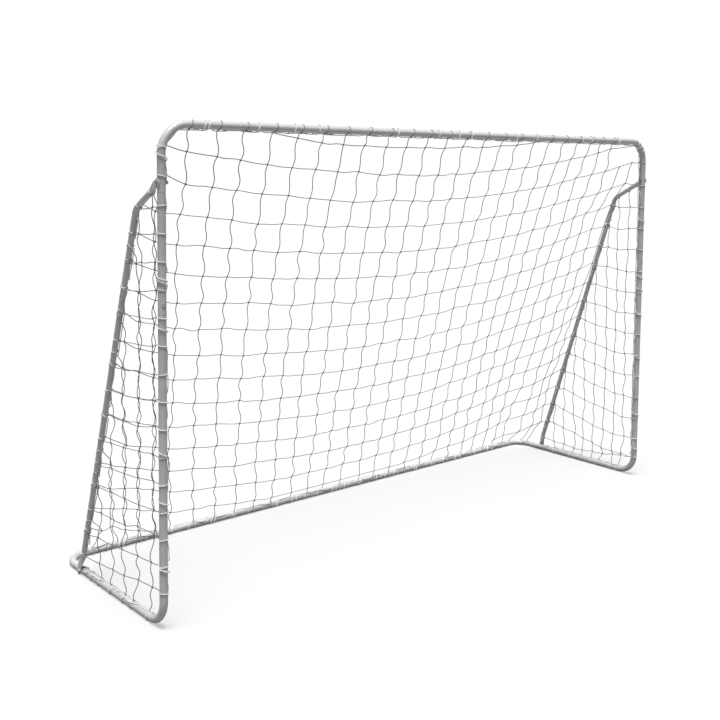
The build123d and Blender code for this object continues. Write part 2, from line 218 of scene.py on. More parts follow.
def wrap(centre, axis, start, turns, radius, drift):
    """A helix round a tube: from the start direction, that many turns, moving along the axis by drift."""
    axis = Vector(axis).normalized()
    start = Vector(start) - axis * Vector(start).dot(axis)
    start.normalize()
    side = axis.cross(start)
    steps = max(3, round(abs(turns) * STEPS_PER_TURN))
    line = []
    for k in range(steps + 1):
        t = k / steps
        angle = 2 * math.pi * turns * t
        line.append(Vector(centre) + (start * math.cos(angle) + side * math.sin(angle)) * radius
                    + axis * drift * (t - 0.5))
    return line


def sagging(a, b, wave, sag):
    """The twine between two knots, without its ends: an S along the wave, and a bow along the sag."""
    points = []
    for k in range(1, SPAN_PARTS):
        t = k / SPAN_PARTS
        bow = math.sin(math.pi * t)
        points.append(a.lerp(b, t) + wave * math.sin(2 * math.pi * t) + sag * bow)
    return points


def down(a, b):
    """A strand that hangs from one knot to the next: straight at the knots and slanted between."""
    lean = b - a
    size = rng.uniform(*WAVE) * min(lean.length / FULL_SPAN, 1.0) ** 2
    wave = Vector((-size if lean.x > 0 else size, rng.gauss(0, DOWN_WAVE_SPREAD), 0))
    return sagging(a, b, wave, Vector([rng.gauss(0, spread) for spread in DOWN_BOW_SPREAD] + [0]))


def across(a, b):
    """A strand between two columns: nearly straight, with a little slack."""
    wave = Vector([0] + [rng.gauss(0, spread) for spread in ACROSS_WAVE_SPREAD])
    return sagging(a, b, wave, Vector((0, 0, -rng.uniform(*ACROSS_SAG))))


def knot(centre, normal, size):
    """A small hard knot: a closed line of twine, tied on itself."""
    normal = Vector(normal).normalized()
    side = normal.cross(Vector((0, 0, 1)))
    if side.length < 0.1:
        side = normal.cross(Vector((1, 0, 0)))
    side.normalize()
    other = normal.cross(side)
    spin = rng.uniform(0, 2 * math.pi)
    line = []
    for k in range(KNOT_STEPS + 1):
        t = 2 * math.pi * k / KNOT_STEPS
        u = math.sin(t + spin) + 2 * math.sin(2 * t + spin)
        v = math.cos(t + spin) - 2 * math.cos(2 * t + spin)
        w = -math.sin(3 * t)
        flat = (side * u + other * v) * size / KNOT_REACH
        line.append(Vector(centre) + flat + normal * w * size / KNOT_DEPTH)
    return line


def build(name, strands, material, node):
    """One mesh from (line, radius, closed) strands, riding on the frame in place of a CAD node."""
    verts, faces, uvs = [], [], []
    for line, radius, closed in strands:
        line = [Vector(q) for q in line]
        count = len(line)
        tangents = []
        for k in range(count):
            before = line[k - 1] if k else (line[-2] if closed else line[0])
            after = line[k + 1] if k + 1 < count else (line[1] if closed else line[-1])
            tangents.append((after - before).normalized())
        normal = tangents[0].orthogonal().normalized()
        rings, length, lengths = [], 0.0, []
        for k in range(count):
            if k:
                length += (line[k] - line[k - 1]).length
                normal = normal - tangents[k] * normal.dot(tangents[k])
                normal.normalize()
            lengths.append(length)
            side = tangents[k].cross(normal)
            base = len(verts)
            for s in range(SIDES):
                angle = 2 * math.pi * s / SIDES
                vert = line[k] + (normal * math.cos(angle) + side * math.sin(angle)) * radius
                vert.z = max(vert.z, 0.0)
                verts.append(vert)
            rings.append(base)
        for k in range(count - 1):
            a, b = rings[k], rings[k + 1]
            for s in range(SIDES):
                n = (s + 1) % SIDES
                faces.append((a + s, a + n, b + n, b + s))
                u0, u1 = lengths[k] * CENTIMETRES, lengths[k + 1] * CENTIMETRES
                v0, v1 = s / SIDES, (s + 1) / SIDES
                uvs += [(u0, v0), (u0, v1), (u1, v1), (u1, v0)]
        if not closed:
            for base, flip in ((rings[0], True), (rings[-1], False)):
                loop = tuple(range(base, base + SIDES))
                faces.append(loop[::-1] if flip else loop)
                uvs += [(0.0, 0.0)] * SIDES
    mesh = bpy.data.meshes.new(name)
    mesh.from_pydata([tuple(v) for v in verts], [], faces)
    layer = mesh.uv_layers.new(name="UVMap")
    layer.data.foreach_set("uv", np.array(uvs, np.float32).ravel())
    mesh.shade_smooth()
    mesh.materials.append(material)
    piece = bpy.data.objects.new(name, mesh)
    bpy.context.scene.collection.objects.link(piece)
    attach(piece, "frame")
    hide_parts(node)


# ---------------------------------------------------------------- materials
DUST = (0.17, 0.15, 0.11, 1.0)
BOTTOM_DARK = (0.045, 0.047, 0.035, 1.0)
RUST = (0.16, 0.065, 0.035, 1.0)
TARNISH = (0.19, 0.09, 0.05, 1.0)
# Heights up to which the tubes are dusty, and the band at the very bottom in which they are darkened in
# near-black patches.
DUST_TOP = 0.030
BOTTOM_DARK_TOP, BOTTOM_DARK_FULL = 0.011, 0.003
# Distances from a post button at which its rust ends, and is full.
RUST_END, RUST_FULL = 0.010, 0.003
# Bump depths.
PEEL_DEPTH = 0.000015
BRUSH_DEPTH = 0.00003
LAY_DEPTH = 0.00035


class Nodes:
    """A short way to write a material's node tree."""

    def __init__(self, name):
        self.material = bpy.data.materials.new(name)
        self.material.use_nodes = True
        self.tree = self.material.node_tree
        self.shader = self.tree.nodes["Principled BSDF"]

    def add(self, kind, inputs=(), **settings):
        node = self.tree.nodes.new(kind)
        for key, value in settings.items():
            setattr(node, key, value)
        for key, value in dict(inputs).items():
            if isinstance(value, bpy.types.NodeSocket):
                self.tree.links.new(value, node.inputs[key])
            else:
                node.inputs[key].default_value = value
        return node

    def coordinates(self, kind="Object"):
        return self.add("ShaderNodeTexCoord").outputs[kind]

    def noise(self, vector, scale, detail=4.0, roughness=0.5):
        inputs = {"Vector": vector, "Scale": scale, "Detail": detail, "Roughness": roughness}
        return self.add("ShaderNodeTexNoise", inputs).outputs["Fac"]

    def ramp(self, value, low, high):
        inputs = {"Value": value, "From Min": low, "From Max": high}
        return self.add("ShaderNodeMapRange", inputs).outputs["Result"]

    def math(self, operation, a, b=0.0):
        return self.add("ShaderNodeMath", {0: a, 1: b}, operation=operation).outputs[0]

    def mix(self, factor, a, b):
        """Two colours mixed. A Mix node's inputs 0, 6 and 7, and output 2, are those of its colour mode."""
        return self.add("ShaderNodeMix", {0: factor, 6: a, 7: b}, data_type="RGBA").outputs[2]

    def bump(self, height, distance):
        inputs = {"Height": height, "Distance": distance, "Strength": 1.0}
        return self.add("ShaderNodeBump", inputs).outputs["Normal"]

    def shade(self, **sockets):
        for key, value in sockets.items():
            target = self.shader.inputs[key.replace("_", " ")]
            if isinstance(value, bpy.types.NodeSocket):
                self.tree.links.new(value, target)
            else:
                target.default_value = value
        return self.material


def grey(value, tint=(1.0, 1.0, 1.0)):
    """A grey, slightly tinted."""
    return (value * tint[0], value * tint[1], value * tint[2], 1.0)


def distance_to(n, coordinates, point):
    inputs = {0: coordinates, 1: point}
    return n.add("ShaderNodeVectorMath", inputs, operation="DISTANCE").outputs["Value"]


def painted_steel(name, value, tint, rust_points=()):
    """Powder-coated tube: faint orange peel, rubbed and scratched patches, dust near the ground, and
    near-black patches at the very bottom.
    """
    n = Nodes(name)
    place = n.coordinates()
    cloud = n.noise(place, 14.0, 5.0, 0.6)
    speckle = n.noise(place, 420.0, 2.0, 0.6)
    upright = n.add("ShaderNodeMapping", {"Vector": place, "Scale": (60.0, 60.0, 9.0)}).outputs[0]
    streak = n.noise(upright, 3.0, 6.0, 0.7)
    colour = n.mix(n.ramp(cloud, 0.35, 0.7), grey(value, tint), grey(value * 0.88, tint))
    colour = n.mix(n.ramp(streak, 0.62, 0.74), colour, grey(value * 1.22, tint))
    colour = n.mix(n.ramp(speckle, 0.66, 0.76), colour, grey(value * 0.62, (1.0, 0.97, 0.92)))
    height = n.add("ShaderNodeSeparateXYZ", {0: place}).outputs["Z"]
    splash = n.ramp(n.noise(place, 55.0, 5.0, 0.65), 0.45, 0.62)
    dust = n.math("MULTIPLY", n.math("MULTIPLY", n.ramp(height, DUST_TOP, 0.0), splash), 0.45)
    colour = n.mix(dust, colour, DUST)
    # The tubes are darkened to near black in patches towards their very bottom.
    patches = n.ramp(n.noise(place, 30.0, 5.0, 0.6), 0.35, 0.6)
    bottom_dark = n.math("MULTIPLY", n.ramp(height, BOTTOM_DARK_TOP, BOTTOM_DARK_FULL), patches)
    colour = n.mix(n.math("MULTIPLY", bottom_dark, 0.75), colour, BOTTOM_DARK)
    for point in rust_points:
        halo = n.ramp(distance_to(n, place, point), RUST_END, RUST_FULL)
        broken = n.math("MULTIPLY", halo, n.ramp(n.noise(place, 260.0, 4.0, 0.7), 0.3, 0.6))
        colour = n.mix(broken, colour, RUST)
    rough = n.add("ShaderNodeMapRange", {"Value": cloud, "To Min": 0.26, "To Max": 0.40}).outputs[0]
    peel = n.bump(n.noise(place, 700.0, 2.0, 0.5), PEEL_DEPTH)
    return n.shade(Base_Color=colour, Roughness=rough, Normal=peel)


def bare_metal(name, value, tint, rough_low, rough_high, rust):
    """Plated or spring steel, with fine brushing and a little tarnish."""
    n = Nodes(name)
    place = n.coordinates()
    cloud = n.noise(place, 180.0, 5.0, 0.65)
    colour = n.mix(n.ramp(cloud, 0.4, 0.7), grey(value, tint), grey(value * 0.7, tint))
    tarnish = n.ramp(n.noise(place, 320.0, 4.0, 0.7), 0.58, 0.72)
    colour = n.mix(n.math("MULTIPLY", tarnish, rust), colour, TARNISH)
    spread = {"Value": cloud, "To Min": rough_low, "To Max": rough_high}
    rough = n.add("ShaderNodeMapRange", spread).outputs[0]
    brush = n.bump(n.noise(place, 1500.0, 2.0, 0.5), BRUSH_DEPTH)
    return n.shade(Base_Color=colour, Roughness=rough, Metallic=0.9, Normal=brush)


def twisted(name, value, tint, lobes, pitch, soil):
    """Twisted or braided cord: the lay runs round the strand, with fuzz and uneven soiling."""
    n = Nodes(name)
    place = n.coordinates()
    uv = n.add("ShaderNodeSeparateXYZ", {0: n.coordinates("UV")})
    turn = n.math("ADD", n.math("MULTIPLY", uv.outputs["X"], 1.0 / pitch), uv.outputs["Y"])
    lay = n.math("SINE", n.math("MULTIPLY", turn, 2 * math.pi * lobes))
    # The lay's grooves are coloured darker than its ridges: painted shade between the plies.
    shade = n.ramp(lay, -1.0, 1.0)
    colour = n.mix(shade, grey(value * 0.62, tint), grey(value, tint))
    dust = n.ramp(n.noise(place, 9.0, 4.0, 0.6), 0.45, 0.75)
    colour = n.mix(n.math("MULTIPLY", dust, soil), colour, grey(value * 0.6, (1.0, 0.95, 0.86)))
    fuzz = n.math("ADD", n.math("MULTIPLY", shade, 0.7), n.noise(place, 2600.0, 2.0, 0.6))
    return n.shade(Base_Color=colour, Roughness=0.85, Sheen_Weight=0.25, Normal=n.bump(fuzz, LAY_DEPTH))


rusty = [(side * POST_X, MOUTH_Y - TUBE, BUTTON_Z) for side in (-1, 1)]
frame_paint = painted_steel("frame_paint", 0.55, (1.0, 1.0, 1.0), rusty)
strut_paint = painted_steel("strut_paint", 0.57, (0.97, 1.0, 0.95))
button_steel = bare_metal("button_steel", 0.42, (1.0, 0.97, 0.93), 0.28, 0.5, 0.7)
spring_steel = bare_metal("spring_steel", 0.30, (0.95, 0.97, 1.0), 0.3, 0.5, 0.3)
zinc = bare_metal("zinc_fasteners", 0.55, (0.98, 1.0, 1.0), 0.3, 0.48, 0.25)
# The hanging twine is coloured dark grey as painted shade for the shaded net; its loops round the tubes use
# the white cord below.
net_twine = twisted("net_twine", 0.27, (1.0, 1.0, 0.99), 3, 1.1, 0.5)
lace_cord = twisted("border_cord", 0.92, (1.0, 1.0, 0.985), 4, 0.9, 0.25)

finishes = {
    "button": button_steel, "spring": spring_steel, "strut_bolts": zinc, "strut_washers": zinc,
    "strut_nuts": zinc, "strut": strut_paint,
}
for name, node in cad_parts.items():
    found = [finish for start, finish in finishes.items() if name.startswith(start)]
    node.data.materials.clear()
    node.data.materials.append(found[0] if found else frame_paint)

# Each leaf spring under a button is copied into a mesh of its own in place of the CAD node; the span from its
# deep side to its near side along the button's axis is worked out, but nothing moves it.
for name in [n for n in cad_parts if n.startswith("spring_")]:
    button = name.replace("spring_", "button_")
    low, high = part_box(button)
    axis = min(range(3), key=lambda k: high[k] - low[k])
    deep, near = (Vector(corner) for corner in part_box(name))
    if middle(button)[axis] < middle(name)[axis]:
        deep, near = near, deep
    start = Vector(middle(name))
    end = start.copy()
    start[axis], end[axis] = deep[axis], near[axis]
    strip = bpy.data.objects.new(name + "_strip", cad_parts[name].data.copy())
    bpy.context.scene.collection.objects.link(strip)
    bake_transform(strip)
    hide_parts(name)

# ---------------------------------------------------------------- net: places of the knots
BAR_TOP = GROUND_Z + TUBE + TWINE
TIE_RADIUS = TUBE + LACE
LOW_TIE_RADIUS = TUBE + LACE * 0.8
STRUT_TIE_RADIUS = STRUT_TUBE + LACE

# How far knots keep from the rear bar, the crossbar, the right strut and the right post.
REAR_BAR_GAP = 0.016
CROSSBAR_GAP = 0.012
STRUT_GAP = 0.035
POST_GAP = 0.03
# How far the extra columns' knots keep from the rear bar, and how far left they may lie.
LOW_GAP = 0.010
LEFT_LIMIT = -1.165
# How far knots stray from their even places.
BACK_STRAY = 0.0022
LEFT_STRAY = 0.002
SIDE_STRAY = 0.0028
# The sag of a row on its way to the left strut, and the steps in which its crossings are looked for.
LEFT_ROW_SAG = 0.008
ROW_STEPS = 60

# Side columns, as places from mouth to back. The first two on the left lean more than the others.
LEFT_SIDE = [-0.268 + 0.0865 * k for k in range(6)]
RIGHT_SIDE = [-0.270 + 0.0550 * k for k in range(9)]
FIRST_LEAN, OTHER_LEAN = 0.025, 0.0125
# Side rows: how far they sag (on the right, for each metre of their length) and bulge outwards, and how
# far their knots keep from the tubes.
LEFT_SAG, RIGHT_SAG = 0.006, 0.045
LEFT_BULGE, RIGHT_BULGE = 0.003, 0.010
SIDE_GAP = 0.012

lacing = []
back = []
side_net = {-1: [], 1: []}


def strut_axis(z):
    """The direction of the strut's centre line at a height."""
    if z > ELBOW[1]:
        return Vector((0, ELBOW[0] - HEAD[0], ELBOW[1] - HEAD[1])).normalized()
    return Vector((0, FOOT[0] - ELBOW[0], FOOT[1] - ELBOW[1])).normalized()


def strut_centre(side, z):
    return Vector((side * STRUT_X, strut_y(z), z))


def post_centre(side, z):
    return Vector((side * POST_X, MOUTH_Y, z))


def back_place(column, row):
    """Where a knot of the back net lies across and in height."""
    return table(ACROSS, column, row), table(HEIGHT, column, row)


def even_row(row, first, height, step):
    """The height of a row, when rows lie a step apart below the first."""
    return height - step * (row - first)


def left_anchor_z(row):
    """Where a back row meets the left post or strut."""
    return LEFT_ANCHORS.get(row, even_row(row, *LEFT_EVEN))


def right_anchor_z(row):
    """Where a back row meets the right post or strut."""
    return RIGHT_ANCHORS.get(row, even_row(row, *RIGHT_EVEN))


def place_grid():
    """Every knot of the back net that hangs between the crossbar and the rear bar."""
    places = {}
    for column in range(COLUMNS):
        for row in range(-1, ROWS):
            x, z = back_place(column, row)
            in_reach = BAR_TOP + REAR_BAR_GAP < z < BAR_Z - TUBE - CROSSBAR_GAP
            if not in_reach or x > (STRUT_X - STRUT_GAP if z < HEAD[1] else POST_X - POST_GAP):
                continue
            places[column, row] = Vector((x, net_y(x, z), z)) + jitter(BACK_STRAY)
    return places


def left_row_start(places, row):
    """Where a row starts on its way to the left strut: at the first column, or low down at the rear bar."""
    if row < ROWS - 1:
        return places[0, row]
    x = LOW_ROW_STARTS[row - ROWS + 1]
    return Vector((x, net_y(x, BAR_TOP), BAR_TOP))


def add_left_columns(places):
    """The knots of the extra columns, where each row crosses them on its way to the left strut."""
    for row in range(FIRST_SIDE_ROW[-1], ROWS + 1):
        first = left_row_start(places, row)
        anchor = strut_centre(-1, left_anchor_z(row))
        for number, line in enumerate(LEFT_COLUMNS, start=1):
            heights, across_places = zip(*line)
            for k in range(2, ROW_STEPS - 2):
                t = k / ROW_STEPS
                z = first.z + (anchor.z - first.z) * t - LEFT_ROW_SAG * math.sin(math.pi * t)
                x = first.x + (anchor.x - first.x) * t
                if x <= np.interp(z, heights, across_places):
                    if z > BAR_TOP + LOW_GAP and x > LEFT_LIMIT:
                        places[-number, row] = Vector((x, net_y(x, z), z)) + jitter(LEFT_STRAY)
                    break


grid = place_grid()
add_left_columns(grid)


def side_row(side, row):
    """(strut height, post height) of a side net row."""
    if side < 0:
        return left_anchor_z(row), even_row(row, *LEFT_POST_EVEN)
    return right_anchor_z(row), max(even_row(row, *RIGHT_POST_EVEN), LOWEST_POST_TIE)


def side_places(side, row):
    """The knots of one side row, from the strut to the post."""
    z_strut, z_post = side_row(side, row)
    rear = strut_y(z_strut) - STRUT_TUBE
    columns = LEFT_SIDE if side < 0 else RIGHT_SIDE
    found = []
    for index in reversed(range(len(columns))):
        y = columns[index]
        if side < 0:
            y -= (FIRST_LEAN if index < 2 else OTHER_LEAN) * z_post
        if y > rear - SIDE_GAP:
            continue
        t = (rear - y) / (rear - MOUTH_Y)
        bow = math.sin(math.pi * t)
        sag = RIGHT_SAG * (rear - MOUTH_Y) if side > 0 else LEFT_SAG
        z = z_strut + (z_post - z_strut) * smooth(t) - sag * bow
        x = side * (POST_X + (RIGHT_BULGE if side > 0 else LEFT_BULGE) * bow)
        if z > BAR_TOP + SIDE_GAP:
            found.append((index, Vector((x, y, z)) + jitter(SIDE_STRAY)))
    return found


# ---------------------------------------------------------------- net: threads and ties
THREAD_STEP = 0.0085
KNOT_SIZE = 0.0036
TIE_KNOT_SIZE = 0.0030
# Turns of a tie on an upright tube, and of one that holds a column's end on a strut or on a ground tube.
TIE_TURNS = 1.02
TOP_TURNS = 1.1
FOOT_TURNS = 0.9
# How far a tie's ends lie apart along its tube.
TIE_DRIFT = (0.004, 0.014)
CORNER_DRIFT = 0.008
COLUMN_DRIFT = 0.005
BAR_DRIFT = (0.024, 0.034)
# The top right tie sits this far round the corner, and goes round it a little more.
CORNER_ANGLE = math.radians(66)
CORNER_TURNS = 1.2
# The top row ends this far past its last knots, just under the crossbar and behind its middle.
TOP_ROW_END = 0.11
TOP_ROW_BACK = 0.003
# A column's end keeps this far from the top corners, and its loop starts this far to the right of it.
BAR_END_GAP = 0.004
BAR_LOOP_STEP = 0.012
BAR_TURNS = -0.97
# Where a side column is tied to the strut's upper part, as parts of it, or above its first knot.
HEAD_PARTS = (0.3, 0.9)
SIDE_TOP_STEP = 0.02
FOOT_STRAY = 0.004
# How far ties keep from the buttons on the bars, on the ground tubes and on the posts.
BAR_BUTTON_GAP = 0.016
GROUND_BUTTON_GAP = 0.018
POST_BUTTON_GAP = 0.012
POST_BUTTON_STEP = 0.02
# Foot ties start on top of the tube, a little to the inside of the goal.
FOOT_SIDE, FOOT_UP = 0.35, 0.94
# Feet that would miss the rear bar go round its bend, up to this angle at this far past its start.
BEND_ANGLE = math.radians(75)
BEND_REACH = 0.045
# The drop from one row to the next.
ROW_DROP = 0.09


def thread(strands, points):
    """One line of twine through points."""
    strands.append((curve(points, THREAD_STEP), TWINE, False))


def add_knot(strands, point, normal):
    strands.append((knot(point, normal, KNOT_SIZE), TWINE * 0.9, True))


def chain(knots, join):
    """Knots joined by strands."""
    points = [knots[0]]
    for a, b in zip(knots, knots[1:]):
        points += join(a, b) + [b]
    return points


def tie(centre, axis, start, turns, radius, drift):
    """A white loop of lacing round a tube, tied off where it meets the net. Gives that place."""
    loop = wrap(centre, axis, start, turns, radius, drift)
    lacing.append((loop, LACE * 0.85, False))
    lacing.append((knot(loop[0], axis, TIE_KNOT_SIZE), LACE * 0.8, True))
    return loop[0]


def either_way():
    """A tie's drift along its tube, to either side."""
    return rng.choice((-1, 1)) * rng.uniform(*TIE_DRIFT)


def back_end(side, row):
    """The tie of a back row on the post, above the strut's head, or on the strut."""
    height = left_anchor_z(row) if side < 0 else right_anchor_z(row)
    if side > 0 and row == 0:
        cos, sin = math.cos(CORNER_ANGLE), math.sin(CORNER_ANGLE)
        place = (POST_X - BEND + BEND * cos, MOUTH_Y, BAR_Z - BEND + BEND * sin)
        inward = (-0.5, 0.5, -0.7)
        return tie(place, (sin, 0, -cos), inward, CORNER_TURNS, TIE_RADIUS, CORNER_DRIFT)
    if row < FIRST_SIDE_ROW[side]:
        inward = (-side * 0.7, 0.7, 0)
        return tie(post_centre(side, height), (0, 0, 1), inward, TIE_TURNS, TIE_RADIUS, either_way())
    inward = (-side * 0.8, 0.6, 0)
    return tie(strut_centre(side, height), strut_axis(height), inward, TIE_TURNS, STRUT_TIE_RADIUS,
               either_way())


def rear_bar_tie(x):
    """The loop of a strand round the straight part of the rear bar."""
    inward = (0, -FOOT_SIDE, FOOT_UP)
    return tie((x, REAR_Y, GROUND_Z), (1, 0, 0), inward, FOOT_TURNS, LOW_TIE_RADIUS, either_way())


for row in (ROWS - 1, ROWS):
    knots = [grid[c, row] for c in sorted(c for c, r in grid if r == row and c < 0)]
    start = rear_bar_tie(LOW_ROW_STARTS[row - ROWS + 1])
    thread(back, chain([back_end(-1, row)] + knots + [start], across))

for row in range(-1, ROWS):
    knots = [grid[c, row] for c in sorted(c for c, r in grid if r == row and (c >= 0 or r < ROWS - 1))]
    if row == -1:
        under = (MOUTH_Y + TOP_ROW_BACK, BAR_Z - TIE_RADIUS)
        first = Vector((knots[0].x - TOP_ROW_END, *under))
        last = Vector((knots[-1].x + TOP_ROW_END, *under))
        knots = [first] + knots + [last]
    else:
        if row < ROWS - 1:
            knots = [back_end(-1, row)] + knots
        knots.append(back_end(1, row))
    thread(back, chain(knots, across))

side_knots = {-1: {}, 1: {}}
for side in (-1, 1):
    for row in range(FIRST_SIDE_ROW[side], ROWS + 1):
        found = side_places(side, row)
        height, post_z = side_row(side, row)
        side_knots[side].update({(index, row): point for index, point in found})
        spot = post_z + (POST_BUTTON_STEP if abs(post_z - BUTTON_Z) < POST_BUTTON_GAP else 0)
        last = tie(post_centre(side, spot), (0, 0, 1), (0, 1, 0), TIE_TURNS, TIE_RADIUS, either_way())
        first = tie(strut_centre(side, height), strut_axis(height), (0, -1, 0), TIE_TURNS * side,
                    STRUT_TIE_RADIUS, either_way())
        thread(side_net[side], chain([first] + [point for _, point in found] + [last], across))


def clear_of_button(x):
    """A place along the crossbar or rear bar, moved off a button that it would cover."""
    for b in BUTTON_X:
        if abs(x - b) < BAR_BUTTON_GAP:
            return b + (BAR_BUTTON_GAP if x > b else -BAR_BUTTON_GAP)
    return x


def over_bar(upper, lower):
    """The end of a column: up across the front of the crossbar, leaning as it goes, and down the back."""
    reach = POST_X - BEND - BAR_END_GAP
    rise = (BAR_Z - TUBE - upper.z) / max(upper.z - lower.z, 0.05)
    x = upper.x + (upper.x - lower.x) * min(rise, 1.0)
    x = clear_of_button(max(min(x, reach), -reach)) + BAR_LOOP_STEP
    drift = rng.uniform(*BAR_DRIFT)
    return wrap((x, MOUTH_Y, BAR_Z), (1, 0, 0), (0, 0.1, -1), BAR_TURNS, TIE_RADIUS, drift)[::-1]


def foot_of(x):
    """The loop of a column round the rear bar, or round the bend at its end."""
    past = abs(x) - (POST_X - REAR_BEND)
    if past < 0:
        return rear_bar_tie(clear_of_button(x))
    side = 1 if x > 0 else -1
    angle = min(past / BEND_REACH, 1.0) * BEND_ANGLE
    cos, sin = math.cos(angle), math.sin(angle)
    place = (side * (POST_X - REAR_BEND * (1 - sin)), REAR_Y - REAR_BEND * (1 - cos), GROUND_Z)
    inward = (-side * sin * FOOT_SIDE, -cos * FOOT_SIDE, FOOT_UP)
    return tie(place, (side * cos, -sin, 0), inward, FOOT_TURNS, LOW_TIE_RADIUS, either_way() * 0.6)


for column in sorted({c for c, r in grid}):
    rows = sorted(r for c, r in grid if c == column)
    knots = [grid[column, r] for r in rows]
    slope = knots[-1] - knots[-2] if len(knots) > 1 else Vector((0.02, 0, -ROW_DROP))
    foot = foot_of(knots[-1].x + slope.x * min(1.0, (knots[-1].z - BAR_TOP) / ROW_DROP))
    if column < 0:
        z = left_anchor_z(rows[0]) + ROW_DROP / 2
        top = tie(strut_centre(-1, z), strut_axis(z), (0.6, 0.6, 0), TOP_TURNS, STRUT_TIE_RADIUS, COLUMN_DRIFT)
        knots = [top] + knots
    line = chain(knots + [foot], down)
    if column >= 0 and rows[0] <= 0:
        loop = over_bar(knots[0], knots[1])
        line = loop[:-1] + chain([loop[-1]] + knots[:1], down)[:-1] + line
    thread(back, line)
for _, point in sorted(grid.items()):
    add_knot(back, point, (0, 1, 0.4))

for side in (-1, 1):
    places = side_knots[side]
    for index in sorted({k for k, _ in places}):
        rows = sorted(r for k, r in places if k == index)
        knots = [places[index, r] for r in rows]
        y, z = knots[0].y + STRUT_TUBE, knots[0].z
        if y < ELBOW[0]:
            t = min(max((y - HEAD[0]) / (ELBOW[0] - HEAD[0]), HEAD_PARTS[0]), HEAD_PARTS[1])
            z = HEAD[1] - t * (HEAD[1] - ELBOW[1])
        else:
            z = max(z + SIDE_TOP_STEP, ELBOW[1] - (y - ELBOW[0]) / (FOOT[0] - ELBOW[0]) * (ELBOW[1] - FOOT[1]))
        top = tie(strut_centre(side, z), strut_axis(z), (0, -0.5, -1), TOP_TURNS * side, STRUT_TIE_RADIUS,
                  either_way())
        y_foot = knots[-1].y + rng.gauss(0, FOOT_STRAY)
        if abs(y_foot - BUTTON_Y) < GROUND_BUTTON_GAP:
            y_foot = BUTTON_Y + GROUND_BUTTON_GAP
        foot = tie((side * POST_X, max(y_foot, MOUTH_Y + BEND), GROUND_Z), (0, 1, 0), (0, 0, 1),
                   FOOT_TURNS * side, LOW_TIE_RADIUS, either_way())
        thread(side_net[side], chain([top] + knots + [foot], down))
    for point in places.values():
        add_knot(side_net[side], point, (1, 0, 0))

build("net_back_twine", back, net_twine, "net_back")
for side, word in ((-1, "left"), (1, "right")):
    build(f"net_side_{word}_twine", side_net[side], net_twine, f"net_side_{word}")


# ---------------------------------------------------------------- lacing
LACING_STEP = 0.004
# The cord goes once round in this length, and keeps its turns this far from a button or bolt.
TURN_LENGTH = 0.048
BUTTON_CLEARANCE = 0.055
# Where the first turn comes, and how the gaps between turns vary.
FIRST_TURN = (0.03, 0.1)
GAP_SPREAD = (0.55, 1.5)
# How the cord strays round the tube between turns, slowly and quickly: (angle, angle for each metre).
SLOW_STRAY = (0.55, 23)
QUICK_STRAY = (0.25, 61)
STRAY_BY_BUTTON = 0.4
# Lowest point of the cords on the posts, and where the cords on the other tubes start and end.
POST_LACING_LOW = 0.09
REAR_LACING_INSET = 0.025
GROUND_LACING_START, GROUND_LACING_END = 0.08, 0.035
STRUT_LACING_LOW, STRUT_LACING_DROP = 0.11, 0.03
# Distance between turns and starting angle of each cord on a tube.
FRONT_CORDS = ((0.24, 0.35), (0.55, 0.9))
REAR_CORDS = ((0.09, -0.5), (0.15, 0.4))
GROUND_CORD = (0.11, 0.4)
STRUT_CORD = (0.19, 0.6)


def straight_line(a, b):
    """The centre line of a straight tube, at small steps."""
    a, b = Vector(a), Vector(b)
    count = max(2, round((b - a).length / LACING_STEP))
    return [a.lerp(b, k / count) for k in range(count + 1)]


def bend_line(x, start, end):
    """The centre line of a top bend, about (x, bar height less the bend), between two angles."""
    z = BAR_Z - BEND
    angles = [math.radians(start + (end - start) * k / 30) for k in range(31)]
    return [Vector((x + BEND * math.cos(a), MOUTH_Y, z + BEND * math.sin(a))) for a in angles]


def front_line():
    """The tube centre line up the left post, along the crossbar and down the right post."""
    corner, low, high = POST_X - BEND, POST_LACING_LOW, BAR_Z - BEND
    left = straight_line((-POST_X, MOUTH_Y, low), (-POST_X, MOUTH_Y, high))
    bar = straight_line((-corner, MOUTH_Y, BAR_Z), (corner, MOUTH_Y, BAR_Z))
    right = straight_line((POST_X, MOUTH_Y, high), (POST_X, MOUTH_Y, low))
    return left + bend_line(-corner, 180, 90)[1:-1] + bar + bend_line(corner, 90, 0)[1:-1] + right


# The side of a tube that a cord runs along, from the direction of the tube's centre line.
def inside_goal(tangent):
    return Vector((0, 1, 0)).cross(tangent)


def upward(tangent):
    return (Vector((0, 0, 1)) - tangent * tangent.z).normalized()


def forward_of(tangent):
    return (Vector((0, -1, 0)) + tangent * tangent.y).normalized()


def lace(line, outward, gap, angle, avoid, radius):
    """A cord along one side of a tube that goes once round it every gap or so, clear of the buttons."""
    points = []
    travelled, turn, goal = 0.0, 0.0, 0.0
    next_wrap = rng.uniform(*FIRST_TURN)
    phase = rng.uniform(0, 6)
    for k, place in enumerate(line):
        tangent = (line[min(k + 1, len(line) - 1)] - line[max(k - 1, 0)]).normalized()
        out = outward(tangent)
        step = (line[k] - line[k - 1]).length if k else 0.0
        travelled += step
        near = any((place - spot).length < BUTTON_CLEARANCE for spot in avoid)
        if travelled > next_wrap and not near:
            goal += 1.0
            next_wrap = travelled + gap * rng.uniform(*GAP_SPREAD)
        turn = min(goal, turn + step / TURN_LENGTH)
        eased = math.floor(turn) + smooth(turn - math.floor(turn))
        slow = SLOW_STRAY[0] * math.sin(travelled * SLOW_STRAY[1] + phase) * (STRAY_BY_BUTTON if near else 1)
        quick = QUICK_STRAY[0] * math.sin(travelled * QUICK_STRAY[1] + 2 * phase)
        a = angle - 2 * math.pi * eased + slow + quick
        points.append(place + (out * math.cos(a) + tangent.cross(out) * math.sin(a)) * radius)
    lacing.append((points, LACE, False))


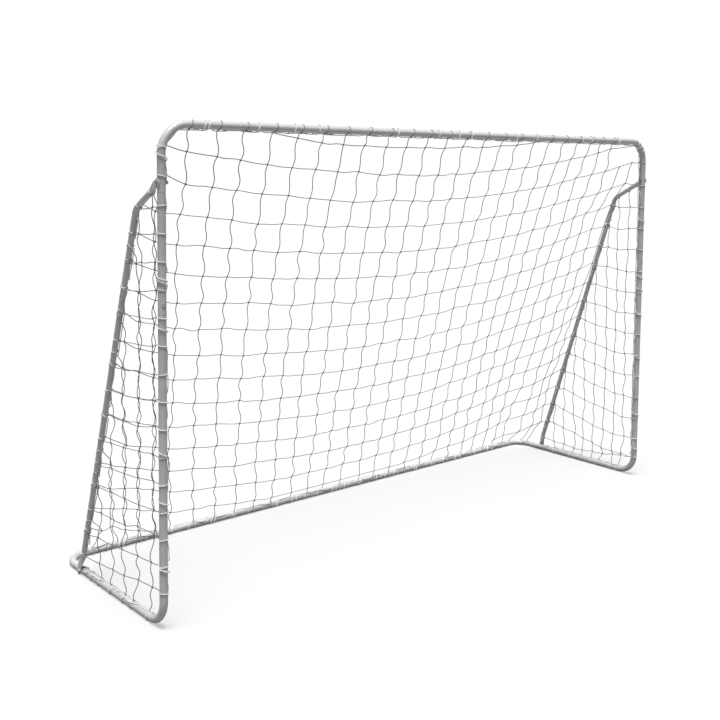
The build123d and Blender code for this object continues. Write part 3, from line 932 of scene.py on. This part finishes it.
front_spots = [Vector((x, MOUTH_Y, BAR_Z)) for x in BUTTON_X]
front_spots += [Vector((side * POST_X, MOUTH_Y, z)) for side in (-1, 1) for z in (BUTTON_Z, HEAD[1])]
for gap, angle in FRONT_CORDS:
    lace(front_line(), inside_goal, gap, angle, front_spots, TUBE + 2 * TWINE + LACE * 0.6)

rear_end = POST_X - REAR_BEND - REAR_LACING_INSET
rear = straight_line((-rear_end, REAR_Y, GROUND_Z), (rear_end, REAR_Y, GROUND_Z))
corner_x = [middle(f"button_rear_corner_{word}")[0] for word in ("left", "right")]
rear_spots = [Vector((x, REAR_Y, GROUND_Z)) for x in (*BUTTON_X, *corner_x)]
for gap, angle in REAR_CORDS:
    lace(rear, upward, gap, angle, rear_spots, TIE_RADIUS)
for side in (-1, 1):
    x = side * POST_X
    start, end = MOUTH_Y + GROUND_LACING_START, FOOT[0] - GROUND_LACING_END
    ground = straight_line((x, start, GROUND_Z), (x, end, GROUND_Z))
    gap, angle = GROUND_CORD
    lace(ground, upward, gap, angle * side, [Vector((x, BUTTON_Y, GROUND_Z))], TIE_RADIUS)
    x = side * STRUT_X
    top, low = ELBOW[1] - STRUT_LACING_DROP, STRUT_LACING_LOW
    leg = straight_line((x, strut_y(top), top), (x, strut_y(low), low))
    spots = [Vector((x, strut_y(STRUT_BUTTON_Z), STRUT_BUTTON_Z))]
    gap, angle = STRUT_CORD
    lace(leg, forward_of, gap, angle * side, spots, STRUT_TUBE + 2 * TWINE + LACE * 0.5)

build("net_lacing", lacing, lace_cord, "net_border_cord")

# ---------------------------------------------------------------- floor, light and camera
FLOOR_HALF = 60
floor_mesh = bpy.data.meshes.new("floor")
corners = [(x * FLOOR_HALF, y * FLOOR_HALF, 0) for x, y in ((-1, -1), (1, -1), (1, 1), (-1, 1))]
floor_mesh.from_pydata(corners, [], [(0, 1, 2, 3)])
floor = bpy.data.objects.new("floor", floor_mesh)
bpy.context.scene.collection.objects.link(floor)
floor_paint = Nodes("floor_paint")
spread = floor_paint.ramp(floor_paint.noise(floor_paint.coordinates(), 0.6), 0.3, 0.7)
# The lift is only seen, so that the pale floor doesn't throw extra light up onto the frame.
directly_seen = floor_paint.add("ShaderNodeLightPath").outputs["Is Camera Ray"]
floor_mesh.materials.append(floor_paint.shade(
    Base_Color=floor_paint.mix(spread, grey(0.262), grey(0.272)), Roughness=0.95,
    Emission_Color=grey(1.0), Emission_Strength=floor_paint.math("MULTIPLY", directly_seen, 0.50),
))

sun = bpy.data.lights.new("overhead", "SUN")
sun.energy = 6.0
sun.angle = math.radians(30)
overhead = bpy.data.objects.new("overhead", sun)
bpy.context.scene.collection.objects.link(overhead)
overhead.rotation_euler = Vector((7, 8, -60)).to_track_quat("-Z", "Y").to_euler()

# The background is seen white, and lights the goal only faintly.
world = bpy.data.worlds.new("world")
bpy.context.scene.world = world
world.use_nodes = True
tree = world.node_tree
seen = tree.nodes["Background"]
seen.inputs["Color"].default_value = (1, 1, 1, 1)
seen.inputs["Strength"].default_value = 1.0
lit = tree.nodes.new("ShaderNodeBackground")
lit.inputs["Color"].default_value = (0.97, 0.99, 1.0, 1)
lit.inputs["Strength"].default_value = 0.06
path = tree.nodes.new("ShaderNodeLightPath")
choose = tree.nodes.new("ShaderNodeMixShader")
tree.links.new(path.outputs["Is Camera Ray"], choose.inputs[0])
tree.links.new(lit.outputs[0], choose.inputs[1])
tree.links.new(seen.outputs[0], choose.inputs[2])
tree.links.new(choose.outputs[0], tree.nodes["World Output"].inputs[0])
bpy.context.scene.view_settings.view_transform = "Standard"

# The photograph's view, solved from the goal's corners.
camera_data = bpy.data.cameras.new("camera")
camera_data.sensor_width = 36.0
camera_data.lens = 50.44
camera_data.shift_x = -0.0084
camera_data.shift_y = -0.1624
camera_data.clip_end = 100.0
camera = bpy.data.objects.new("camera", camera_data)
bpy.context.scene.collection.objects.link(camera)
bpy.context.scene.camera = camera
yaw, pitch, roll = 0.71361, -0.07690, 0.00981
forward = Vector((math.sin(yaw) * math.cos(pitch), math.cos(yaw) * math.cos(pitch), math.sin(pitch)))
right = Vector((math.cos(yaw), -math.sin(yaw), 0))
up = right.cross(forward)
right, up = (right * math.cos(roll) + up * math.sin(roll), up * math.cos(roll) - right * math.sin(roll))
facing = Matrix((right, up, -forward)).transposed()
camera.matrix_world = Matrix.Translation((-2.63192, -2.90056, 1.37437)) @ facing.to_4x4()

bpy.context.view_layer.update()
